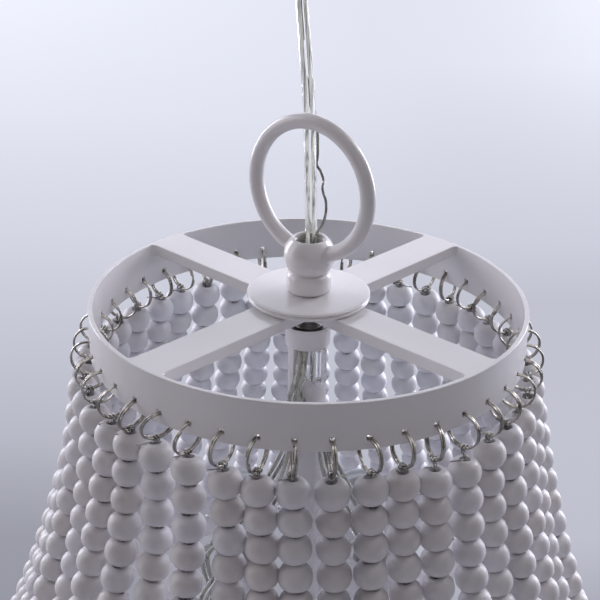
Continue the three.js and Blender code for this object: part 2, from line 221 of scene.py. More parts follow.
def finish_of(name, group, light, dark, cloud, grain, smooth, rough, bump, metallic=0):
    """A material with the group's finish, its shader and the group's node.

    Cloud and grain are how many to a metre, smooth and rough are the two roughnesses, and bump is in metres.
    """
    material = bpy.data.materials.new(name)
    material.use_nodes = True
    tree = material.node_tree
    shader = tree.nodes["Principled BSDF"]
    shader.inputs["Metallic"].default_value = metallic
    uneven = tree.nodes.new("ShaderNodeGroup")
    uneven.node_tree = group
    where = tree.nodes.new("ShaderNodeTexCoord")
    lift = tree.nodes.new("ShaderNodeBump")
    lift.inputs["Strength"].default_value = 1
    lift.inputs["Distance"].default_value = bump
    for label, value in (("Light", (*light, 1)), ("Dark", (*dark, 1)), ("Cloud Scale", cloud),
                         ("Grain Scale", grain), ("Smooth", smooth), ("Rough", rough)):
        uneven.inputs[label].default_value = value
    tree.links.new(where.outputs["Object"], uneven.inputs["Place"])
    tree.links.new(uneven.outputs["Colour"], shader.inputs["Base Color"])
    tree.links.new(uneven.outputs["Gloss"], shader.inputs["Roughness"])
    tree.links.new(uneven.outputs["Grain"], lift.inputs["Height"])
    tree.links.new(lift.outputs["Normal"], shader.inputs["Normal"])
    return material, shader, uneven


sprayed = uneven_finish("sprayed or moulded surface")
drawn = uneven_finish("drawn wire", (1, 1, 0.3))
stranded = uneven_finish("bundled strands", (1, 1, 0.03))


def made_clear(made, ior):
    """Turns a finish into clear plastic, and gives its material."""
    material, shader, _ = made
    shader.inputs["Transmission Weight"].default_value = 1
    shader.inputs["IOR"].default_value = ior
    return material


def with_painted_glow(made, strength):
    """Gives bare strands under clear vinyl a faint painted glow, which stands in for the light that the vinyl
    gathers on them.
    """
    material, shader, uneven = made
    material.node_tree.links.new(uneven.outputs["Colour"], shader.inputs["Emission Color"])
    shader.inputs["Emission Strength"].default_value = strength
    return material


clear_vinyl = made_clear(finish_of("clear vinyl", drawn, (0.985, 0.987, 0.985), (0.955, 0.96, 0.955),
                                   cloud=120, grain=700, smooth=0.02, rough=0.06, bump=0.0001), ior=1.4)
# The supply cable's strands glow a little, as painted light.
tinned_strands = with_painted_glow(finish_of("tinned strands", stranded, (0.95, 0.95, 0.92), (0.10, 0.105, 0.09), cloud=1500,
                                    grain=4000, smooth=0.2, rough=0.4, bump=0.00002, metallic=0.4), strength=0.3)


def flat_twin_section(width, thick):
    """Two round lobes side by side, with a shallow groove between."""
    lobe = thick / 2
    centre = width / 2 - lobe
    bend = [math.radians(a) for a in range(-120, 121, 24)]
    right = [(centre + lobe * math.cos(a), lobe * math.sin(a)) for a in bend]
    waist = lobe * 0.66
    return [*right, (0, waist), *[(-x, -y) for x, y in right], (0, -waist)]


def clear_twin(route, side, width, thick):
    """The sheath and the two stranded cores of a clear flat twin cable."""
    rows = framed(route, side)
    sheath = tube(rows, flat_twin_section(width, thick))
    cores = []
    for edge in (-1, 1):
        line = [p + s * edge * (width - thick) / 2 for p, s, t in rows]
        cores.append(twisted(line, side, strands=8, strand=0.00015, turn=0.00045, lay=0.026))
    return sheath, joined(cores)


cable_width = 0.005
cable_thick = 0.0026
supply_route = smooth_route(from_ring([
    (0, 0, -14.3), (0, 0, -6), (0, 0, 4), (0.1, 0, 12), (0.3, 0.2, 20), (0.5, 0.7, 26.6),
    (0.4, 2.2, 36.5), (0.1, 4.2, 47), (-0.4, 6.6, 59.4), (-0.7, 8.4, 68), (-1, 9, 76),
    (-1.7, 9, 87.6), (-2.8, 8.8, 99.7), (-3.8, 8.6, 111.5), (-4.8, 8.5, 123.2),
    (-5.2, 8.5, 134), (-5.2, 8.5, 147.7)]), spacing=0.001)
sheath, cores = clear_twin(supply_route, (1, 0, 0), cable_width, cable_thick)
supply_sheath = add_piece("supply_sheath", sheath, clear_vinyl, "hanger", ["supply_cord"])
supply_cores = add_piece("supply_cores", cores, tinned_strands, "hanger")


# Earth wire
# A bare twist of dark tinned strands. It comes out of the ball beside the cable, swings out to
# the right, kinks back and climbs behind the cable.
earth_route = smooth_route(from_ring([
    (0.8, -3.2, -14.3), (0.8, -3.2, 0), (0.9, -3, 14), (1.4, -3, 24), (2.8, -2.9, 30), (3.9, -2.5, 31.9),
    (5.1, -1.9, 33.8), (6.1, -0.9, 36.6), (6.5, 0.2, 39), (6.5, 1, 41.2), (6.2, 1.9, 43.2), (5.4, 3, 45.1),
    (4.9, 4.2, 47.2), (5.2, 5.4, 49), (5.1, 6.6, 50.7), (4.5, 7.6, 52.2), (3.9, 8.4, 53.4), (2.8, 9.2, 54.6),
    (2.3, 9.8, 55.7), (2.5, 10.5, 57.7), (2.7, 11, 60), (2.6, 11.5, 63.4), (2.4, 12, 68.2), (1.9, 12, 71.7),
    (1.2, 12, 76), (0.2, 12, 82), (-1.2, 12, 90.6), (-3.9, 12, 104.7), (-6.4, 12, 118.5), (-6.6, 12, 134),
    (-6.6, 12, 147.7)]), spacing=0.0005)
dark_strands = finish_of("dark tinned strands", drawn, (0.46, 0.45, 0.42), (0.10, 0.10, 0.10), cloud=260,
                         grain=4000, smooth=0.2, rough=0.4, bump=0.00002, metallic=1)[0]
earth_twist = twisted(earth_route, (1, 0, 0), strands=3, strand=0.00029, turn=0.00036, lay=0.0034)
earth_wire = add_piece("earth_wire_twist", earth_twist, dark_strands, "hanger", ["earth_wire"])


# Ceiling fitting
# A plain turned cup of white plastic, flat on its back, with a small boss that the cable and
# the earth wire go into.
def turned(profile, sides=96, closed=False, centre=(0, 0)):
    """A turned piece from (radius, height) pairs, which end on the axis or close on themselves."""
    corners, rings = [], []
    for r, z in profile:
        rings.append(len(corners))
        for i in range(sides if r else 1):
            a = 2 * math.pi * i / sides
            corners.append((centre[0] + r * math.cos(a), centre[1] + r * math.sin(a), z))
    pairs = list(zip(range(len(rings)), range(1, len(rings))))
    if closed:
        pairs.append((len(rings) - 1, 0))
    faces = []
    for a, b in pairs:
        for i in range(sides):
            k = (i + 1) % sides
            low = [rings[a] + i, rings[a] + k] if profile[a][0] else [rings[a]]
            high = [rings[b] + k, rings[b] + i] if profile[b][0] else [rings[b]]
            faces.append(tuple(low + high))
    return corners, faces


def softened(piece, width, segments=3):
    """Rounds a piece's edges over, as paint and tumbling do."""
    edge = piece.modifiers.new("edge", "BEVEL")
    edge.width = width
    edge.segments = segments
    edge.limit_method = "ANGLE"
    edge.angle_limit = math.radians(28)  # leaves the facets of turned pieces alone
    edge.harden_normals = True
    return piece


white_plastic = finish_of("white plastic", sprayed, (0.80, 0.79, 0.78), (0.75, 0.74, 0.73),
                          cloud=40, grain=1500, smooth=0.3, rough=0.42, bump=0.00001)[0]
fitting_low = ring_top + 0.148
fitting_centre = (-0.0052, 0.0085)
fitting = softened(add_piece("ceiling_fitting_cup", turned([
    (0, fitting_low), (0.007, fitting_low), (0.007, fitting_low + 0.005), (0.03, fitting_low + 0.009),
    (0.0365, fitting_low + 0.0125), (0.04, fitting_low + 0.017), (0.04, fitting_low + 0.024),
    (0, fitting_low + 0.024)], centre=fitting_centre),
    white_plastic, "hanger", ["ceiling_fitting"], sharp=0), width=0.0006)
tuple(supply_route[0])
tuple(earth_route[0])


# Hanging loop
# A ring of round rod cast in one with a bored ball, sprayed satin white. The cast corners where
# the rod runs into the ball are soft.
enamel, shader, _ = finish_of("satin white enamel", sprayed, (0.795, 0.78, 0.795), (0.785, 0.77, 0.787),
                              cloud=45, grain=1400, smooth=0.23, rough=0.27, bump=0.000012)
shader.inputs["Coat Weight"].default_value = 0.1
shader.inputs["Coat Roughness"].default_value = 0.08
ball_radius = 0.01075
bore_radius = 0.0065
ball_centre = ring_top + 0.0193
ball_seat = ring_top + 0.0129
ball_lip = 0.0074
rod_radius = 0.00325
loop_radius = 0.0282
loop_lift = 0.001
loop_centre = ball_centre + loop_radius + loop_lift
loop_turn = math.radians(-36.5)
loop_level = Vector((math.cos(loop_turn), math.sin(loop_turn), 0))
rod_in_ball = 0.0085
hidden_end = rod_in_ball / loop_radius
low_angle = -math.asin((ball_centre - ball_seat) / ball_radius)
high_angle = math.acos(ball_lip / ball_radius)
ball_steps, rod_steps = 16, 120
ball = []
for i in range(ball_steps + 1):
    a = low_angle + (high_angle - low_angle) * i / ball_steps
    ball.append((ball_radius * math.cos(a), ball_centre + ball_radius * math.sin(a)))
lip_height = ball[-1][1]
rod_line = []
for i in range(rod_steps + 1):
    a = hidden_end + (2 * math.pi - 2 * hidden_end) * i / rod_steps
    height = Vector((0, 0, loop_centre - math.cos(a) * loop_radius))
    rod_line.append(loop_level * math.sin(a) * loop_radius + height)
loop_side = Vector((0, 0, 1)).cross(loop_level)
loop_shape = joined([
    turned([(bore_radius, ball_seat), *ball, (bore_radius, lip_height)], closed=True),
    tube(framed(rod_line, loop_side), round_section(rod_radius, sides=32))])
loop = add_piece("loop_and_ball", loop_shape, enamel, "hanger", ["hanging_loop"], sharp=0)
melt = loop.modifiers.new("one casting", "REMESH")
melt.mode = "VOXEL"
melt.voxel_size = 0.0003
melt.use_smooth_shade = True
even = loop.modifiers.new("cast corners", "SMOOTH")
even.factor = 0.6
even.iterations = 8


# Thread in the ball's bore
# The ball is tapped right through, and the bare dark thread shows above the end of the tube.
thread_steel = finish_of("bare thread", drawn, (0.26, 0.25, 0.24), (0.12, 0.115, 0.11), cloud=200,
                         grain=3000, smooth=0.3, rough=0.5, bump=0.00002, metallic=1)[0]
thread_pitch = 0.001


def threaded(root, crest, plain, low, high):
    """A sleeve with ridges from the root's radius to the crest's, and a plain wall at a third radius."""
    count = round((high - low) / thread_pitch)
    pitch = (high - low) / count
    profile = [(plain, high), (plain, low)]
    for i in range(count):
        profile += [(root, low + (i + 0.1) * pitch), (crest, low + (i + 0.5) * pitch)]
    return turned([*profile, (root, high)], closed=True)


bore_thread = threaded(root=0.0066, crest=0.0061, plain=0.0069, low=ball_seat + 0.0086, high=lip_height - 0.0006)
add_piece("ball_thread", bore_thread, thread_steel, "hanger", sharp=60)


# Threaded tube
# Dark steel tube that clamps the ball, neck, disc and spokes, with the cable inside it.
tube_thread = threaded(root=0.0057, crest=0.0062, plain=0.0048, low=ring_top - 0.013, high=ball_seat + 0.0082)
add_piece("threaded_tube", tube_thread, thread_steel, "bell", ["threaded_nipple"], sharp=60)


# Neck coupling
# A short turned barrel with a rounded shoulder and a drawn-in foot, between the disc and the ball.
neck_low = ring_top + 0.0036
neck = [(0.0064, 0), (0.0083, 0), (0.0089, 0.0003), (0.0093, 0.0012), (0.0095, 0.0025), (0.0095, 0.0055),
        (0.0094, 0.0068), (0.009, 0.0079), (0.0084, 0.0084), (0.0078, 0.0086), (0.0076, 0.009), (0.0064, 0.009)]
add_piece("neck_barrel", turned([(r, neck_low + z) for r, z in neck], closed=True),
          enamel, "bell", ["neck_coupling"], sharp=40)


# Hub disc
# A spun steel disc with a rim in two steps, clamped down on the crossing of the spokes.
disc_low = ring_top + 0.0003
disc = [(0.0065, 0), (0.0254, 0), (0.026, 0.0006), (0.026, 0.0013), (0.0256, 0.0017), (0.0252, 0.00175),
        (0.0252, 0.0019), (0.0258, 0.0021), (0.026, 0.0025), (0.0256, 0.0029), (0.0248, 0.003), (0.0065, 0.003)]
add_piece("hub_disc_spun", turned([(r, disc_low + z) for r, z in disc], sides=128, closed=True),
          enamel, "bell", ["hub_disc"], sharp=50)


# Top ring
# Flat steel strip rolled into a hoop, with a small punched hole for each strand near its lower
# edge, and sprayed in one with the spokes.
strands = 42
strand_step = 2 * math.pi / strands
first_strand = math.radians(1.38)
strip_width = 0.02
strip_thick = 0.002
hole_size = 0.0021
hole_from_edge = 0.0049


def punched_hoop(radius, top, hole_height):
    """A hoop of strip whose holes are cut through both of its faces."""
    half, gap_steps = hole_size / 2 / radius, 5
    places = [-half, half, *[half + (strand_step - 2 * half) * i / gap_steps for i in range(1, gap_steps)]]
    angles = [first_strand + k * strand_step + a for k in range(strands) for a in places]
    heights = [top - strip_width, hole_height - hole_size / 2, hole_height + hole_size / 2, top]
    corners = [(r * math.cos(a), r * math.sin(a), z)
               for a in angles for r in (radius, radius - strip_thick) for z in heights]
    faces = []
    # Each angle has eight corners: 0 to 3 up the outside and 4 to 7 up the inside. A hole follows
    # the first of each strand's angles, and its four walls take the place of the faces there.
    for i in range(len(angles)):
        here, there = i * 8, (i + 1) % len(angles) * 8
        for k in range(3):
            if i % len(places) == 0 and k == 1:
                continue
            faces.append((here + k, there + k, there + k + 1, here + k + 1))
            faces.append((here + k + 5, there + k + 5, there + k + 4, here + k + 4))
        faces.append((here + 4, there + 4, there, here))
        faces.append((here + 3, there + 3, there + 7, here + 7))
        if i % len(places) == 0:
            faces.append((here + 2, here + 1, here + 5, here + 6))
            faces.append((there + 1, there + 2, there + 6, there + 5))
            faces.append((here + 1, there + 1, there + 5, here + 5))
            faces.append((there + 2, here + 2, here + 6, there + 6))
    return corners, faces


top_radius = 0.0925
top_hole = ring_top - strip_width + hole_from_edge
softened(add_piece("top_ring_strip", punched_hoop(top_radius, ring_top, top_hole),
                   enamel, "bell", ["top_ring"], sharp=0), width=0.00035)


# Top spokes
# Two flat bars halved into each other and welded inside the ring, flush with its top edge.
# The welds are dressed smooth and show as a small fillet.
bar_half = 0.009
bar_thick = 0.005
bar_turn = math.radians(46.8)
bar_flare = 0.0028   # how much the ends spread to each side
bar_sunk = 0.0005   # how far short of the strip's outside the bars end
bar_proud = 0.00003   # a film of paint over the strip's edge
weld_radius = 0.0006


def crossed_bars(radius, top):
    """Two bars halved into each other, whose ends spread a little into the strip."""
    outline = []
    for k in range(4):
        along = Vector((math.cos(bar_turn + k * math.pi / 2), math.sin(bar_turn + k * math.pi / 2), 0))
        aside = Vector((-along.y, along.x, 0))
        spread = [(0.0045, 0), (0.0028, 0.0003), (0.0016, 0.0011)]
        across = [(in_by, -bar_half - out_by) for in_by, out_by in spread]
        across += [(0, (bar_half + bar_flare) * (i / 4 - 1)) for i in range(9)]
        across += [(in_by, bar_half + out_by) for in_by, out_by in reversed(spread)]
        for in_by, y in across:
            outline.append(along * math.sqrt((radius - in_by) ** 2 - y ** 2) + aside * y)
        outline.append((along + aside) * bar_half)
    low, high = Vector((0, 0, top - bar_thick)), Vector((0, 0, top))
    count = len(outline)
    corners = [p + low for p in outline] + [p + high for p in outline]
    faces = [tuple(reversed(range(count))), tuple(range(count, 2 * count))]
    for i in range(count):
        k = (i + 1) % count
        faces.append((i, k, count + k, count + i))
    return corners, faces


def weld_fillets(radius, top):
    """A small fillet round the sides and the underside of each bar's end."""
    low = top - bar_thick
    welds = []
    for k in range(4):
        along = Vector((math.cos(bar_turn + k * math.pi / 2), math.sin(bar_turn + k * math.pi / 2), 0))
        aside = Vector((-along.y, along.x, 0))
        line = [along * math.sqrt(radius ** 2 - y ** 2) + aside * y + Vector((0, 0, z)) for y, z in (
            (-bar_half, top - 0.0004), (-bar_half, top - bar_thick / 2), (-bar_half, low), (-bar_half / 2, low),
            (0, low), (bar_half / 2, low), (bar_half, low), (bar_half, top - bar_thick / 2),
            (bar_half, top - 0.0004))]
        welds.append(tube(framed(smooth_route(line, spacing=0.0007), along), round_section(weld_radius)))
    return joined(welds)


softened(add_piece("top_spokes", crossed_bars(top_radius - bar_sunk, ring_top + bar_proud),
                   enamel, "bell", ["top_cross"], sharp=0), width=0.0004)
add_piece("top_welds", weld_fillets(top_radius - strip_thick, ring_top), enamel, "bell")


# Wiring cup
# A drawn steel cup with a turned-over rim, open at the top and screwed up under the spokes. Its
# inside is lined in dark bare steel as painted shade, for the shadow in the cup. It caps the stem.
cup_top = ring_top - 0.0112
cup = [(0.009, -0.002), (0.009, -0.01), (0.0096, -0.01), (0.0097, -0.0024), (0.0103, -0.0013),
       (0.0111, -0.0007), (0.0112, -0.0003), (0.0109, 0), (0.0102, -0.0004)]
add_piece("wiring_cup_shell", turned([(r, cup_top + z) for r, z in cup], closed=True),
          enamel, "bell", ["wiring_cup"], sharp=60)
# The dark lining is painted shade.
painted_shade_lining = [(0.0063, -0.0012), (0.0063, -0.0022), (0.0091, -0.0022), (0.0105, -0.0003)]
add_piece("wiring_cup_inside", turned([(r, cup_top + z) for r, z in painted_shade_lining], closed=True),
          thread_steel, "bell")


# Stem
# Steel tube from the cup down to the lower spokes, with a window front and back where the leads
# come out. The window at the back is the deeper one.
hoop_top = -0.268375
stem_radius = 0.0084
stem_wall = 0.0012
stem_top = cup_top - 0.0018
stem_foot = hoop_top + 0.0003
window_top = cup_top - 0.0103
front_window_low = window_top - 0.014
rear_window_low = window_top - 0.022
front_window, rear_window = (-134, -13), (13, 150)
window_steps, bar_steps = 14, 9
corners, faces = [], []
for (first, last), following, low in ((front_window, rear_window[0], front_window_low),
                                      (rear_window, front_window[0] + 360, rear_window_low)):
    angles = [math.radians(first + (last - first) * i / window_steps) for i in range(window_steps + 1)]
    angles += [math.radians(last + (following - last) * i / bar_steps) for i in range(1, bar_steps)]
    corners += [(stem_radius * math.cos(a), stem_radius * math.sin(a), z)
                for a in angles for z in (stem_foot, low, window_top, stem_top)]
# Four corners to a column. At a window no face joins the middle two.
columns = len(corners) // 4
for i in range(columns):
    there = (i + 1) % columns * 4
    at_window = i % (columns // 2) < window_steps
    for k in (0, 2) if at_window else (0, 1, 2):
        faces.append((i * 4 + k, there + k, there + k + 1, i * 4 + k + 1))
stem = add_piece("stem_tube", (corners, faces), enamel, "bell", ["stem"], sharp=0)
wall = stem.modifiers.new("wall", "SOLIDIFY")
wall.thickness = stem_wall
wall.offset = -1
softened(stem, width=0.0002, segments=2)


# Splice and lamp leads
# Under the tube the cable is joined to four clear twin leads in a pressed sleeve, beside a clear
# end cap. They leave at the left of the windows, hang down beside the stem and spread to the
# four lamps.
cap_top, cap_low = ring_top - 0.0212, ring_top - 0.0376
cap = [(0, cap_low + 0.0012), (0.0024, cap_low + 0.0013), (0.0029, cap_low + 0.0022), (0.0027, cap_top),
       (0.0034, cap_top), (0.0037, cap_low + 0.002), (0.0035, cap_low + 0.0008), (0.0027, cap_low + 0.0001),
       (0, cap_low)]
clear_nylon = made_clear(finish_of("clear nylon", sprayed, (0.97, 0.97, 0.97), (0.92, 0.92, 0.92),
                                   cloud=60, grain=900, smooth=0.02, rough=0.05, bump=0.000005), ior=1.35)
add_piece("splice_cap", turned(cap, sides=48, centre=(0.0047, -0.0066)),
          clear_nylon, "bell", sharp=60)
splice_top = ring_top - 0.0146
splice = [(0, 0), (0.0045, 0), (0.0049, -0.0005), (0.0049, -0.0039), (0.0045, -0.0044), (0, -0.0044)]
add_piece("splice_sleeve", turned([(r, splice_top + z) for r, z in splice], sides=48),
          white_plastic, "bell", sharp=60)
left_route = [
    (-2.1, -2.2, -16.8), (-2.3, -3, -22), (-2.4, -6.4, -27.2), (-3, -10, -32.2), (-4.6, -12.6, -37.4),
    (-6, -13, -43), (-5.8, -12.2, -52), (-5.6, -11.4, -60), (-6.2, -11.1, -70), (-9, -11.4, -82), (-15, -11.8, -96),
    (-23.5, -12.4, -111), (-32, -13.6, -125.5), (-39.5, -15.4, -135.5), (-45.5, -19, -145.5),
    (-45.5, -24, -158), (-43.4, -28.2, -171), (-42.6, -29.2, -185.3)]
right_route = [
    (1.9, -2.2, -16.8), (0.4, -1.4, -20), (-1.6, -1.6, -24.5), (-2.4, -3.2, -29), (-3, -6.2, -32.8),
    (-3.6, -9, -36), (-3.8, -10, -40), (-2.4, -10.3, -45), (1.2, -10.9, -53), (5.2, -11, -62), (7, -11.2, -70),
    (10, -11.2, -82), (17, -11.8, -97), (26, -12.8, -113), (35, -15, -129), (43, -18.6, -143), (46.8, -22.4, -156),
    (45.6, -26, -168), (44.4, -27.4, -185.3)]
lamp_shift = 1.8
shift_starts, shift_ends = -110, -150
sheaths, lead_cores = [], []
for behind in (False, True):
    for points, lamp_side in ((left_route, -1), (right_route, 1)):
        if behind:
            # The back leads mirror the front ones, and shift a little to reach their lamps.
            shifts = [lamp_shift * min(1, max(0, (shift_starts - z) / (shift_starts - shift_ends)))
                      for x, y, z in points]
            points = [(x - off, -y + off * lamp_side, z) for (x, y, z), off in zip(points, shifts)]
        route = smooth_route(from_ring(points), spacing=0.0015)
        sheath, cores = clear_twin(route, (1, 0, 0), cable_width, cable_thick)
        sheaths.append(sheath)
        lead_cores.append(cores)
add_piece("lead_sheaths", joined(sheaths), clear_vinyl, "bell", ["lamp_leads"])
# The leads' strands glow more faintly, as painted light.
lead_strands = with_painted_glow(finish_of("tarnished strands", stranded, (0.80, 0.80, 0.75), (0.11, 0.11, 0.105), cloud=1500,
                                  grain=4000, smooth=0.2, rough=0.4, bump=0.00002, metallic=0.4), strength=0.08)
add_piece("lead_cores", joined(lead_cores), lead_strands, "bell")


# Strands of beads
# Forty-two strands of fifteen off-white wooden beads hang from the top ring to the lower hoop.
# Each bead is turned a little flat at its ends, dipped and polished, and sits its own way.
def vary(strand, turns):
    """A steady variation between -1 and 1 that doesn't repeat round the bell."""
    return math.sin(strand * turns * 2 * math.pi + turns)


bead_radius = 0.00675
bead_half = 0.00565
bead_squareness = 2.2
bead_bore = 0.0023
bead_rim = bead_bore + 0.0004
bead_end_fullness = 1.11
beads = 15
hanger_across = 0.01432
hanger_height = ring_top - 0.01545
ring_middle = top_radius - strip_thick / 2
strand_length = 0.1719
strand_foot = Vector((0.1459, 0, ring_top - 0.193525))
# How far the beads differ from each other, as standard deviations.
tilt_spread, size_spread, flat_spread, stray_spread, tone_spread = 0.06, 0.012, 0.03, 0.00025, 0.02
# The rear strands' beads are painted this much paler, and so cooler, for the light that reaches them inside the
# bell.
rear_painted_light = 0.04
chance = random.Random(7)

beaded, shader, uneven = finish_of("dipped wooden bead", sprayed, (0.74, 0.725, 0.745), (0.68, 0.665, 0.69),
                                   cloud=110, grain=900, smooth=0.42, rough=0.55, bump=0.00002)
shader.inputs["Coat Weight"].default_value = 0.12
shader.inputs["Coat Roughness"].default_value = 0.22
tree = beaded.node_tree
# A bead's tone varies at random, and carries the painted light of the rear strands too.
tone_and_painted_light = tree.nodes.new("ShaderNodeAttribute")
tone_and_painted_light.attribute_name = "tone_and_painted_light"
tree.links.new(blended(tree, None, uneven.outputs["Colour"], tone_and_painted_light.outputs["Color"], how="MULTIPLY"),
               shader.inputs["Base Color"])


def bead_profile():
    """The outside of a bead from its lower hole to its upper one, and back up the bore."""
    profile, steps = [], 14
    for i in range(steps + 1):
        a = math.pi * (i / steps - 0.5)
        x, z = math.cos(a), math.sin(a)
        size = (abs(x) ** bead_squareness + abs(z) ** bead_squareness) ** (-1 / bead_squareness)
        r, z = bead_radius * x * size, bead_half * bead_end_fullness * z * size
        if r > bead_rim and abs(z) < bead_half * 0.995:
            profile.append((r, z))
    bore_end, bore_middle = bead_half * 0.96, bead_half * 0.7
    return [(bead_bore, -bore_middle), (bead_bore, -bore_end), (bead_rim, -bead_half), *profile,
            (bead_rim, bead_half), (bead_bore, bore_end), (bead_bore, bore_middle)]


bead_shape = turned(bead_profile(), sides=24, closed=True)


def hanger_of(strand):
    """A strand's turn about the bell, its hole, its split ring's foot and flat direction, and its hang.

    The angles are in degrees and the lengths in mm. Each is a usual value that varies a little from strand to
    strand, with the places round the bell where the strands in the photograph hang another way.
    """
    azimuth = (math.degrees(first_strand + strand * strand_step) + 180) % 360 - 180
    turn = Matrix.Rotation(math.radians(azimuth), 3, "Z")

    def near(place, width):
        """1 at a place round the bell, falling off over the width."""
        return math.exp(-((azimuth - place) / width) ** 2)
    front = max(0, -math.sin(math.radians(azimuth))) ** 2
    lean = math.radians(14 - 10 * front - 14 * near(-124, 14) + 2 * vary(strand, 0.55))
    aside = math.radians(-18 * near(-132, 16) + 3 * vary(strand, 0.73))
    swing = math.radians(11 * vary(strand, 0.618) - 20 * near(-116, 16) + 24 * near(-79, 7))
    hole = turn @ Vector((ring_middle, 0, hanger_height))
    down = turn @ Vector((math.sin(lean) * math.cos(aside), math.sin(aside), -math.cos(lean) * math.cos(aside)))
    across = turn @ Matrix.Rotation(swing, 3, "Z") @ Vector((1, 0, 0))
    across = (across - down * across.dot(down)).normalized()
    sway = (0.6 * vary(strand, 0.271) + 6.5 * near(-112, 16) + 2.5 * near(-86, 8)) / 1000
    knot = (1.8 + 0.5 * vary(strand, 0.41) - 0.5 * near(-124, 14) + 4 * near(-53, 6)) / 1000
    bow = (6 + 4 * front + 3.5 * (1 + vary(strand, 0.382)) / 2) / 1000
    return turn, hole, hole + down * hanger_across, across, knot, bow, sway


def strand_line(strand):
    """Gives the point of a strand at any share of its length, from its split ring down to the hoop."""
    turn, _, start, _, _, bow, sway = hanger_of(strand)
    start = turn.transposed() @ start
    chord = strand_foot - start
    inward = Vector((chord.z, 0, -chord.x)).normalized()

    def at(s):
        return turn @ (start + chord * s + (inward * bow + Vector((0, sway, 0))) * 4 * s * (1 - s))
    return at


for strand in range(strands):
    at = strand_line(strand)
    turn, knot = hanger_of(strand)[0], hanger_of(strand)[4]
    corners, faces, tones_and_painted_light = [], [], []
    for bead in range(beads):
        ends = [(knot + (strand_length - knot) * (bead + k) / beads) / strand_length for k in (0, 0.5, 1)]
        middle = at(ends[1])
        tilt = (at(ends[0]) - at(ends[2])).normalized() + Vector(chance.gauss(0, tilt_spread) for _ in range(3))
        sit = tilt.to_track_quat("Z", "Y").to_matrix() @ Matrix.Rotation(chance.uniform(0, 6.28), 3, "Z")
        wide = 1 + chance.gauss(0, size_spread)
        tall = wide * (1 - max(0, chance.gauss(-0.01, flat_spread)))
        middle += turn @ Vector((0, chance.gauss(0, stray_spread), 0))
        faces += [tuple(i + len(corners) for i in face) for face in bead_shape[1]]
        corners += [middle + sit @ Vector((x * wide, y * wide, z * tall)) for x, y, z in bead_shape[0]]
        # Random tone, with painted light on the rear strands.
        tones_and_painted_light += [chance.gauss(1 + rear_painted_light * max(0, turn[1][0]), tone_spread)] * len(bead_shape[0])
    name = f"bead_strand_{strand + 1:02d}"
    piece = add_piece(name + "_beads", (corners, faces), beaded, "bell", [name], sharp=60)
    mark = piece.data.attributes.new("tone_and_painted_light", "FLOAT_COLOR", "POINT")  # the paler a bead, the cooler
    mark.data.foreach_set("color", [v for t in tones_and_painted_light for v in (t, t ** 1.3, t ** 1.9, 1)])


# Split rings
# Each strand hangs by a split ring of two turns of springy nickelled wire, put through its hole.
hook_steel = finish_of("nickelled spring wire", drawn, (0.54, 0.515, 0.47), (0.15, 0.135, 0.12), cloud=450,
                       grain=3500, smooth=0.06, rough=0.15, bump=0.00001, metallic=1)[0]
ring_wire_radius = 0.00045
ring_share = 0.97       # of two whole turns
ring_offset = 0.00055   # of each turn from the middle of the two
ring_crossing = 7       # how quickly the wire crosses from one turn to the other
ring_steps = 60
wires = []
for strand in range(strands):
    _, hole, foot, across, _, _, _ = hanger_of(strand)
    middle, half = (hole + foot) / 2, (hole - foot) / 2
    aside = across.cross(half).normalized()
    roll = chance.uniform(0, 2 * math.pi)
    line = []
    for i in range(ring_steps + 1):
        a = roll + 4 * math.pi * i / ring_steps * ring_share
        line.append(middle + half * math.cos(a) + across * half.length * math.sin(a)
                    + aside * ring_offset * math.tanh((i / ring_steps - 0.5) * ring_crossing))
    wires.append(tube(framed(line, aside), round_section(ring_wire_radius, sides=10)))
add_piece("split_rings", joined(wires), hook_steel, "bell", sharp=60)


